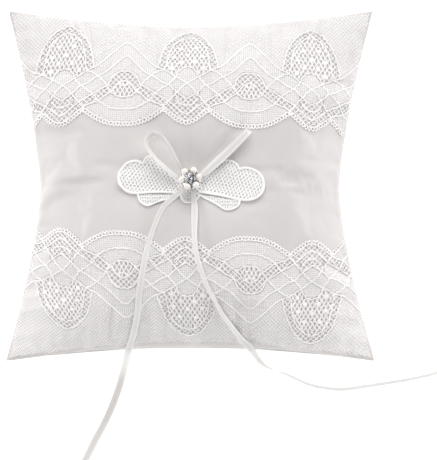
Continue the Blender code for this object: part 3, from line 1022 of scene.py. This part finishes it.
def blossom_places():
    """Where flowers and dots sit in the lace, and how big they are."""
    places = []
    for number in range(-3, 4):
        middle = LACE_SHIFT + number * PITCH
        places += [(middle, a, b, FLOWER_SIZE) for a, b in FLOWERS]
    for number in range(-3, 3):
        middle = LACE_SHIFT + (number + 0.5) * PITCH
        for away in DOT_ROWS:
            for across in np.arange(0, 17, 1.9):
                height = level(OUTER_ARCH, np.array([across]))[0] + away + 0.25 * across
                places.append((middle, across, height, DOT_SIZE))
    for middle, across, b, size in places:
        for sign in ((1,) if across == 0 else (-1, 1)):
            yield middle + sign * across, b, size


def blossoms(band, lift, material, name):
    """Solid thread flowers in the medallions, and dotted rows over the arches."""
    points = []
    faces = []
    angle = np.arange(FLOWER_SIDES) * 2 * math.pi / FLOWER_SIDES
    for a, b, size in blossom_places():
        s, t = band.place(np.array([a]), np.array([b]))
        if abs(s[0]) > BLOSSOM_LIMIT or t[0] > BLOSSOM_LIMIT:
            continue
        lobes = size * (0.82 + 0.18 * np.cos(PETALS * angle))
        faces.extend(tube_faces(len(FLOWER_RINGS), FLOWER_SIDES, len(points)))
        for share, rise in FLOWER_RINGS:
            reach = lobes * share
            ring, _ = band.lay(a + reach * np.cos(angle), b + reach * np.sin(angle), lift + rise)
            points.extend(ring.tolist())
    return mesh_object(name, points, faces, material)


GROUND_LIFT = 0.24
GROUND_THICKNESS = 0.1


def ground_sheet(name, band, material):
    """The sheer ground, from the free edge to the seam, left open in the net and ladder fillings."""
    along = np.arange(-HALF_SPAN, HALF_SPAN, 0.5)
    a, share = np.meshgrid(along, np.linspace(0, 1, 100), indexing="ij")
    b = lerp(free_edge(fold(a)) + 0.1, DEPTH_SPAN, share)
    s, t = band.place(a, b)
    limit = band.limit(s)
    shown = (np.abs(s) < LACE_LIMIT) & (t < limit)
    solid = shown & ~np.isin(fill_style(a, b), (LADDER, NET))
    s = np.clip(s, -LACE_LIMIT, LACE_LIMIT)
    points, _ = on_front(s, np.minimum(t, limit) * band.side, np.full(a.shape, GROUND_LIFT))
    return cell_sheet(name, points, solid, material, GROUND_THICKNESS, band.side < 0)


def cell_sheet(name, points, kept, material, thickness, flip=False):
    """A thin sheet made of the cells of a grid of points whose corners are all kept."""
    number = np.arange(kept.size).reshape(kept.shape)
    full = kept[:-1, :-1] & kept[1:, :-1] & kept[1:, 1:] & kept[:-1, 1:]
    quads = grid_faces(number)[full.ravel()]
    if flip:
        quads = quads[:, ::-1]
    used, faces = np.unique(quads, return_inverse=True)
    obj = mesh_object(name, points.reshape(-1, 3)[used], faces.reshape(-1, 4).tolist(), material)
    solid = obj.modifiers.new("thickness", "SOLIDIFY")
    solid.thickness = thickness * MM
    return obj


def make_lace():
    thread = thread_material("lace_thread", (0.985, 0.956, 0.948))
    ground = tulle_material("lace_ground", 0.72)
    for name, side, edge in (("upper_lace", 1, UPPER_EDGE), ("lower_lace", -1, LOWER_EDGE)):
        band = LaceBand(side, *edge)
        sheet = ground_sheet(name + "_ground", band, ground)
        fill = tubes(name + "_filling_threads", fill_lines(band, THREAD_LIFT), 0.16, thread,
                     flatness=0.5)
        cords = tubes(name + "_cords", cord_lines(band, CORD_LIFT), 0.46, thread, 6, 0.62,
                      stitch=1.3, ripple=0.14)
        picots = tubes(name + "_picots", picot_lines(band, PICOT_LIFT), 0.4, thread, 5, 0.7)
        flowers = blossoms(band, FLOWER_LIFT, thread, name + "_flowers")
        stand_in(sheet, "pillow", name, name + "_band")
        for piece in (fill, cords, picots, flowers):
            stand_in(piece, "pillow", name)


# Ribbon

def steady(rows, reach):
    """Rows of values averaged along their length, so that small gathers don't show in them."""
    wide = np.pad(rows, ((reach, reach), (0, 0)), "reflect", reflect_type="odd")
    kernel = np.ones(2 * reach + 1) / (2 * reach + 1)
    return np.stack([np.convolve(column, kernel, "valid") for column in wide.T], axis=1)


# the ribbon's section: places across it, from -1 to 1, and its share of the full thickness there
RIBBON_SECTION = (
    (-1, 0.35), (-0.96, SELVAGE / RIBBON), (-0.86, 1), (-0.45, 0.9), (0, 0.85), (0.45, 0.9),
    (0.86, 1), (0.96, SELVAGE / RIBBON), (1, 0.35))


def ribbon(name, route, stands, widths, material, normals=None, weights=None, turns=None):
    """A flat woven ribbon with firmer selvages along a dense centre line. Where weights are 1
    it lies on cloth with the given normals, turned on its line by turns."""
    along = unit(np.gradient(route, axis=0))
    level_way = unit(np.cross(along, np.array([0.0, 0.0, 1.0])))
    upright = np.cross(level_way, along)
    stands = np.radians(stands)[:, None]
    across = level_way * np.cos(stands) + upright * np.sin(stands)
    if normals is not None:
        lying = unit(np.cross(along, normals))
        across = unit(across * (1 - weights[:, None]) + lying * weights[:, None])
    flat = np.cross(across, along)
    if turns is not None:
        turned_by = np.radians(turns)[:, None]
        across = unit(steady(across * np.cos(turned_by) + flat * np.sin(turned_by), 7))
        flat = np.cross(across, along)
    upper = np.array(RIBBON_SECTION) * (0.5, RIBBON / 2)
    offsets = np.vstack([upper, upper[::-1] * (1, -1)])
    rings = (route[:, None, :] + across[:, None, :] * offsets[None, :, 0:1] * widths[:, None, None]
             + flat[:, None, :] * offsets[None, :, 1:2])
    weave = np.zeros_like(rings)
    weave[..., 0] = travel(route)[:, None]
    weave[..., 1] = offsets[None, :, 0] * RIBBON_WIDTH
    faces = tube_faces(*rings.shape[:2])
    return mesh_object(name, rings.reshape(-1, 3), faces, material, attribute=weave.reshape(-1, 3))


RIBBON_CLEAR = 1.25      # centre of a ribbon above the satin where lace lies under it
TURN_LIFT = 1.4          # how much higher the line of a tail on its edge lies
FREE_BELOW = 39.0        # under this height a tail has left the panel
LYING_OVER = 8.0         # and this much higher it lies on it

# how far each tail is turned on its own line, in degrees, by share of its length
LEFT_TURNS = ((0, 10), (0.04, 35), (0.09, 52), (0.2, 50), (0.28, 30), (0.4, 0), (1, 0))
RIGHT_TURNS = ((0, 0), (0.04, 0), (0.1, -35), (0.16, -50), (0.26, -56), (0.32, -40), (0.4, 0), (1, 0))

# the CAD route's stand of a tail and how far the soft tail rolls there, in degrees
ROLL = ((0, 0), (45, 38), (70, 74), (85, 103), (90, 106))


def make_tails(material):
    for name, points, turns in (("left", LEFT_TAIL, LEFT_TURNS), ("right", RIGHT_TAIL, RIGHT_TURNS)):
        dense = smooth_curve(points, 0.8)
        route = dense[:, :3].copy()
        share = np.linspace(0, 1, len(route))
        turn = np.interp(share, *np.array(turns).T)
        stands = np.interp(dense[:, 3], *np.array(ROLL).T)
        s, t = panel_place(route[:, 0], route[:, 1])
        weight = np.clip((route[:, 2] - FREE_BELOW) / LYING_OVER, 0, 1)
        weight = weight * weight * (3 - 2 * weight)
        lying, normals = on_front(s, t, RIBBON_CLEAR + TURN_LIFT * np.sin(np.radians(np.abs(turn))))
        lying = steady(lying, 6)
        normals = unit(steady(normals, 10))
        route = steady(route * (1 - weight[:, None]) + lying * weight[:, None], 4)
        sway = 3 * np.sin(share * 9)
        widths = lerp(PINCHED, RIBBON_WIDTH, np.clip(share / 0.05, 0, 1))
        tail = ribbon("ribbon_tail_" + name + "_woven", route, stands + sway * (1 - weight), widths,
                      material, normals, weight, turn)
        stand_in(tail, "pillow", "ribbon", "ribbon_tail_" + name)
        float(travel(route)[-1]) * MM


LOOP_DROP = 1.3         # the loops slump a little towards the tails
LEFT_STANDS = ((0, 30), (0.35, 40), (0.48, 55), (0.6, 58), (0.75, 50), (1, 35))
RIGHT_STANDS = ((0, 12), (1, 12))


def make_loops(material):
    for name, loop, stands in (("left", LEFT_LOOP, LEFT_STANDS), ("right", RIGHT_LOOP, RIGHT_STANDS)):
        dense = smooth_curve(loop, 0.5)
        base, _ = over_front(dense[:, 0], dense[:, 1], 0.0)
        lift = steady(base[:, 2:], 8)[:, 0] + dense[:, 2]
        route = np.stack([dense[:, 0], dense[:, 1] - LOOP_DROP, lift], axis=1)
        share = np.linspace(0, 1, len(route))
        near_end = np.minimum(share, 1 - share)
        widths = lerp(PINCHED, RIBBON_WIDTH, np.clip(near_end / 0.2, 0, 1))
        stand = np.interp(share, *np.array(stands).T)
        piece = ribbon("bow_loop_" + name + "_woven", route, stand, widths, material)
        stand_in(piece, "pillow", "ribbon", "bow_loop_" + name)


# Applique: two net wings with a leaf below each, in plan millimetres from the middle

LEFT_WING = ((-5, -6.8), (-10, -7.2), (-16.3, -6.9), (-23.5, -7), (-29.2, -7.6), (-34.2, -7.3),
             (-37.8, -5.1), (-40.3, -1.8), (-40.6, 2.6), (-38.8, 6.9), (-35.6, 10.2),
             (-30.6, 11.3), (-26.7, 9.8))
LEFT_SHOULDER = ((-26.7, 9.8), (-26, 12.2), (-24, 13.9), (-21, 13.4), (-17.3, 9.6), (-13, 5),
                 (-9, 1.2), (-5, -1.5))
LEFT_LEAF = ((-29.9, -8.1), (-28.8, -12), (-26, -14.5), (-23.3, -14.9), (-19.9, -13.4),
             (-14.9, -11.6), (-10.6, -9.9), (-5.5, -8))
RIGHT_WING = ((5.1, -6.5), (10.9, -7.5), (16.6, -8.5), (22.3, -9.9), (27.3, -11.1), (31.6, -11.6),
              (35.9, -10.9), (39.8, -8.3), (41.4, -4.7), (41.3, -0.3), (39.1, 3.7), (35.2, 6.3),
              (30.9, 7.2), (27.8, 6.4))
RIGHT_SHOULDER = ((27.8, 6.4), (26.6, 9.1), (23.7, 11.3), (20.6, 11.9), (17.4, 10.6), (13.5, 6.6),
                  (9.4, 2.6), (5, -1))
RIGHT_LEAF = ((27.3, -11.1), (28.1, -12.7), (26.8, -15.3), (23.7, -17), (19.8, -17.2),
              (15.9, -14.7), (12.3, -12.5), (9.4, -10.9), (5.8, -8.6))
CENTRE_LOBE = ((-5.7, -8.0), (-4.9, -11), (-2.4, -12.8), (0.9, -12.6), (4, -10.8), (5.4, -8.2))
APPLIQUE_SWAY = (0.16, 2.3, 1.9)


def within(x, y, outline):
    """Whether each point lies inside a closed outline."""
    hits = np.zeros(np.shape(x), dtype=bool)
    for (x0, y0), (x1, y1) in zip(outline, np.roll(outline, -1, axis=0)):
        if y0 == y1:
            continue
        crosses = (y0 > y) != (y1 > y)
        hits ^= crosses & (x < (x1 - x0) * (y - y0) / (y1 - y0) + x0)
    return hits


def closed_outline(*strokes):
    return np.vstack([smooth_curve(stroke, 0.5) for stroke in strokes])


def lay_applique(x, y, extra):
    """The applique's tips lift a little off the satin."""
    curl = 0.45 + 0.9 * np.clip(np.abs(x) / 41, 0, 1) ** 3
    return over_front(x, y, curl + extra)


def applique_threads(outline, families, extra):
    """Straight threads of a net or hatch, cut to an outline."""
    lines = []
    for degrees, spacing in families:
        for x, y in straight_rows(degrees, spacing, 60, 0.5, APPLIQUE_SWAY):
            for i, j in split_runs(within(x, y, outline)):
                lines.append(lay_applique(x[i:j], y[i:j], extra))
    return lines


def applique_ground(material, outlines):
    """A sheer backing under the whole motif, in small cells with a soft thickness."""
    cell = 0.55
    x, y = np.meshgrid(np.arange(-44, 44, cell), np.arange(-20, 17, cell), indexing="ij")
    covered = np.zeros(x.shape, dtype=bool)
    for outline in outlines:
        covered |= within(x, y, outline)
    points, _ = lay_applique(x, y, -0.25)
    return cell_sheet("applique_ground", points, covered, material, 0.15)


def outline_cords(strokes, extra):
    return [lay_applique(*smooth_curve(stroke, 0.2).T, extra) for stroke in strokes]


def make_applique():
    thread = thread_material("applique_thread", (0.975, 0.965, 0.955))
    wings = (closed_outline(LEFT_WING, LEFT_SHOULDER), closed_outline(RIGHT_WING, RIGHT_SHOULDER))
    leaves = [closed_outline(stroke) for stroke in (LEFT_LEAF, RIGHT_LEAF, CENTRE_LOBE)]
    middle = closed_outline(((-5, -1.5), (-5.4, -8.3), (5.4, -8.3), (5, -1), (-5, -1.5)))
    ground = applique_ground(tulle_material("applique_tulle", 0.7), (*wings, *leaves, middle))
    net = []
    for wing, lean in zip(wings, (-8, -14)):
        net += applique_threads(wing, ((lean + 57, 1.8), (lean - 57, 1.8)), 0.0)
    net += applique_threads(middle, ((45, 1.8), (-45, 1.8)), 0.0)
    fill = []
    for leaf in leaves:
        fill += applique_threads(leaf, ((88, 0.95),), 0.1)
        fill += applique_threads(leaf, ((0, 2.1),), 0.05)
    net_piece = tubes("applique_net", net, 0.42, thread, 6, 0.5, stitch=1.8, ripple=0.2)
    hatch_piece = tubes("applique_hatch", fill, 0.27, thread, sides=5)
    bold = outline_cords((LEFT_WING, RIGHT_WING), 0.35)
    fine = outline_cords((LEFT_SHOULDER, RIGHT_SHOULDER, LEFT_LEAF, RIGHT_LEAF, CENTRE_LOBE), 0.3)
    bold_piece = tubes("applique_bold_cord", bold, 0.72, thread, 10, 0.7, stitch=0.7, ripple=0.1)
    fine_piece = tubes("applique_fine_cord", fine, 0.55, thread, 9, 0.75, stitch=0.6, ripple=0.1)
    extras = [net_piece, hatch_piece, bold_piece, fine_piece]
    stand_in(ground, "pillow", "applique_lace", "lace_applique")
    for piece in extras:
        stand_in(piece, "pillow", "applique_lace")


# Bow knot, brooch and what holds them

def turned(profile, sides, wobble=None):
    """Points and faces turned about the upright axis from (radius, height) pairs."""
    angle = np.arange(sides) * 2 * math.pi / sides
    points = []
    for radius, height in profile:
        ring = radius * (np.ones(sides) if wobble is None else wobble(angle, radius))
        level_ring = np.full(sides, height)
        points.append(np.stack([ring * np.cos(angle), ring * np.sin(angle), level_ring], axis=1))
    return np.vstack(points), tube_faces(len(profile), sides)


def merged(parts):
    """Points and faces of several closed shapes in one."""
    points = []
    faces = []
    start = 0
    for shape, polygons in parts:
        points.append(shape)
        faces.extend([[corner + start for corner in polygon] for polygon in polygons])
        start += len(shape)
    return np.vstack(points), faces


def ball(radius, rows, sides, place, squash=1.0):
    angle = np.linspace(-math.pi / 2, math.pi / 2, rows)[1:-1]
    shape, faces = turned([(radius * math.cos(a), radius * squash * math.sin(a)) for a in angle], sides)
    return shape + np.asarray(place), faces


KNOT_MIDDLE = (58.5 + 61.0) / 2
KNOT_REACH = (3.75, 3.15)
KNOT_AROUND = 72
KNOT_SECTION = 20


def make_knot(material):
    """The ribbon's wrap round the bow's middle: a fat ring of soft folds."""
    points = []
    weave = []
    for i in range(KNOT_AROUND):
        angle = 2 * math.pi * i / KNOT_AROUND
        outward = np.array([math.cos(angle), math.sin(angle)])
        centre = outward * KNOT_REACH
        for j in range(KNOT_SECTION):
            turn = 2 * math.pi * j / KNOT_SECTION
            swell = 1 + 0.08 * math.sin(3 * turn + 2 * angle) + 0.05 * math.sin(5 * angle)
            reach = 1.2 * swell * math.cos(turn)
            height = KNOT_MIDDLE + 1.15 * swell * math.sin(turn)
            points.append((*(centre + outward * reach), height))
            weave.append((angle * 4, turn * 0.8, 0))
    number = np.arange(KNOT_AROUND * KNOT_SECTION).reshape(KNOT_AROUND, KNOT_SECTION)
    faces = grid_faces(np.pad(number, ((0, 1), (0, 1)), "wrap")).tolist()
    knot = mesh_object("bow_knot_wrapped", points, faces, material, attribute=weave)
    stand_in(knot, "pillow", "ribbon", "bow_knot")


PEARL_RING = 4.95
PEARL_RADIUS = 2.0
PEARL_Z = 64.5
PEARLS = 6
PEARL_PHASE = math.radians(9)
PLATE_LOW = 61.5
PLATE_HIGH = 62.2


def round_axis(radius, step, height):
    """A place beside the brooch's axis, step being counted in pearls from the first."""
    angle = PEARL_PHASE + step * 2 * math.pi / PEARLS
    return np.array([radius * math.cos(angle), radius * math.sin(angle), height])


CLAW_SIDES = 8


def claw(angle, low, high, reach, radius):
    """A tapered claw that climbs the stone's side and bends in over its girdle."""
    climb = np.array([(reach, low), (reach + 0.1, (low + high) / 2), (reach + 0.02, high - 0.35),
                      (reach - 0.25, high), (reach - 0.6, high + 0.12)])
    route = smooth_curve(climb, 0.12)
    line = np.stack([route[:, 0] * math.cos(angle), route[:, 0] * math.sin(angle), route[:, 1]], axis=1)
    side = np.tile([-math.sin(angle), math.cos(angle), 0.0], (len(line), 1))
    along = unit(np.gradient(line, axis=0))
    up = np.cross(along, side)
    turn = np.arange(CLAW_SIDES) * 2 * math.pi / CLAW_SIDES
    size = radius * (1.15 - 0.45 * np.linspace(0, 1, len(line)))[:, None, None]
    ring = line[:, None, :] + size * (side[:, None, :] * np.cos(turn)[None, :, None]
                                      + up[:, None, :] * np.sin(turn)[None, :, None])
    return ring.reshape(-1, 3), tube_faces(len(line), CLAW_SIDES)


# radius and height round each turned part's section; the pearl cup's height is from the plate's top
PLATE_PROFILE = (
    (1.0, PLATE_LOW), (5.3, PLATE_LOW), (5.75, PLATE_LOW + 0.15), (5.85, PLATE_LOW + 0.35),
    (5.7, PLATE_HIGH - 0.12), (5.3, PLATE_HIGH), (1.0, PLATE_HIGH))
PEARL_CUP = ((0.5, -0.1), (1.1, 0), (1.45, 0.45), (1.55, 0.8), (1.42, 0.82), (1.2, 0.45), (0.5, 0.3))
STONE_CUP = ((1.2, 62.4), (2.0, 62.6), (2.5, 63.6), (2.95, 65.0), (3.1, 65.55), (2.95, 65.6),
             (2.75, 65.0), (2.2, 63.4), (1.2, 62.8))
STONE_RINGS = (
    # radius, height, corners, turn in corners: table, star, girdle twice, pavilion, culet
    (1.75, 67.2, 8, 0.0), (2.5, 66.65, 8, 0.5), (3.0, 66.08, 16, 0.0), (3.0, 65.9, 16, 0.0),
    (1.75, 64.75, 8, 0.5), (0.18, 63.25, 8, 0.0))
SHANK_Z = 59.55
SHANK_RING = 1.3


def make_plate(silver):
    """The round metal plate with a cup under each pearl and a bead between cups."""
    def petals(angle, radius):
        return 1 + 0.045 * np.cos(PEARLS * (angle - PEARL_PHASE)) * (radius / 6)

    parts = [turned(PLATE_PROFILE, 96, petals)]
    for number in range(PEARLS):
        cup, faces = turned(PEARL_CUP, 28)
        parts.append((cup + round_axis(PEARL_RING, number, PLATE_HIGH), faces))
        parts.append(ball(0.42, 9, 14, round_axis(5.7, number + 0.5, PLATE_HIGH + 0.2)))
    base = mesh_object("brooch_plate_with_cups", *merged(parts), silver)
    base.data.set_sharp_from_angle(angle=math.radians(50))
    stand_in(base, "brooch", "brooch_metal", "brooch_base")


def make_setting(silver):
    claws = [claw(PEARL_PHASE + (k + 0.5) * 2 * math.pi / PEARLS, 64.2, 66.55, 3.22, 0.3)
             for k in range(PEARLS)]
    parts = merged([turned(STONE_CUP, 64), *claws])
    setting = mesh_object("crystal_cup_with_claws", *parts, silver)
    setting.data.set_sharp_from_angle(angle=math.radians(60))
    stand_in(setting, "brooch", "brooch_metal", "crystal_setting")


def make_stone():
    """A cut stone with flat facets, foiled on the faces that look down."""
    mesh = bmesh.new()
    for radius, height, sides, shift in STONE_RINGS:
        for k in range(sides):
            angle = (k + shift) * 2 * math.pi / sides
            mesh.verts.new((radius * math.cos(angle) * MM, radius * math.sin(angle) * MM, height * MM))
    bmesh.ops.convex_hull(mesh, input=mesh.verts)
    data = bpy.data.meshes.new("brilliant_stone")
    mesh.to_mesh(data)
    mesh.free()
    data.materials.append(crystal_material())
    data.materials.append(foil_material())
    for polygon in data.polygons:
        polygon.material_index = int(polygon.normal.z < -0.1)
    stone = bpy.data.objects.new("brilliant_stone", data)
    bpy.context.scene.collection.objects.link(stone)
    stand_in(stone, "brooch", "crystal", "crystal")


def make_brooch():
    silver = metal_material()
    make_plate(silver)
    make_setting(silver)
    make_stone()
    nacre = pearl_material()
    for number in range(PEARLS):
        shape = ball(PEARL_RADIUS, 30, 48, round_axis(PEARL_RING, number, PEARL_Z), 0.97)
        pearl = mesh_object(f"nacre_pearl_{number + 1}", *shape, nacre)
        stand_in(pearl, "brooch", "pearl", f"pearl_{number + 1}")
    turn = np.linspace(0, 2 * math.pi, 49)
    line = np.stack([turn * 0, SHANK_RING * np.cos(turn), SHANK_Z + SHANK_RING * np.sin(turn)], axis=1)
    shank = tubes("shank_wire_ring", [(line, np.tile([1.0, 0.0, 0.0], (49, 1)))], 0.35, silver, 12, 1.0)
    stand_in(shank, "brooch", "brooch_metal", "brooch_shank")


WAD_INSET = 6           # panel grid lines between the seam and the filling
WAD_GAP = 4.0           # between the filling and the panels over it
WAD_LUMPS = 0.1
BACK_KNOT_Z = 3.6
BACK_KNOT_WINDS = 9


def make_filling():
    """A lumpy wad of fibre that fills the panels."""
    inset = np.linspace(WAD_INSET, GRID - 1 - WAD_INSET, 33).astype(int)
    top = FRONT[np.ix_(inset, inset)]
    bottom = BACK[np.ix_(inset, inset)]
    chance = np.random.default_rng(SEED + 5)
    middle = (top[..., 2:] + bottom[..., 2:]) / 2
    half = np.maximum((top[..., 2:] - bottom[..., 2:]) / 2 - WAD_GAP, 0.3)
    lumps = 1 - WAD_LUMPS * chance.random(half.shape)
    top = np.concatenate([top[..., :2], middle + half * lumps], axis=-1)
    bottom = np.concatenate([bottom[..., :2], middle - half * lumps], axis=-1)
    filling = layered("fibre_wad", top, bottom, filling_material())
    stand_in(filling, "pillow", "filling", "fibre_filling")


def make_threads():
    """Thread looks for the CAD's seam and tufting thread, and the knot wound at the back."""
    thread = thread_material("sewing_thread", (0.9, 0.89, 0.88))
    for node in ("seam_thread", "tufting_thread"):
        for slot in bpy.data.objects[node].material_slots:
            slot.material = thread
    winds = []
    turn = np.linspace(0, 2 * math.pi, 41)
    for number in range(BACK_KNOT_WINDS):
        tilt = number * math.pi / BACK_KNOT_WINDS
        length = 3.9 * np.cos(turn)
        width = (1.9 + 0.5 * math.sin(number * 2.1)) * 0.8 * np.sin(turn)
        x = length * math.cos(tilt) - width * math.sin(tilt)
        y = length * math.sin(tilt) * 0.75 + width * math.cos(tilt)
        line = np.stack([x, y, BACK_KNOT_Z + 1.6 * np.sin(turn)], axis=1)
        winds.append((line, unit(line - np.array([0, 0, BACK_KNOT_Z]))))
    knot = tubes("tufting_knot_wound", winds, 0.34, thread, 8, 1.0)
    stand_in(knot, "pillow", "sewing_thread", "back_knot")


make_studio()
RIBBON_MATERIAL = ribbon_material()
make_tails(RIBBON_MATERIAL)
make_loops(RIBBON_MATERIAL)
make_panels()
make_lace()
make_applique()
make_knot(RIBBON_MATERIAL)
make_brooch()
make_filling()
make_threads()
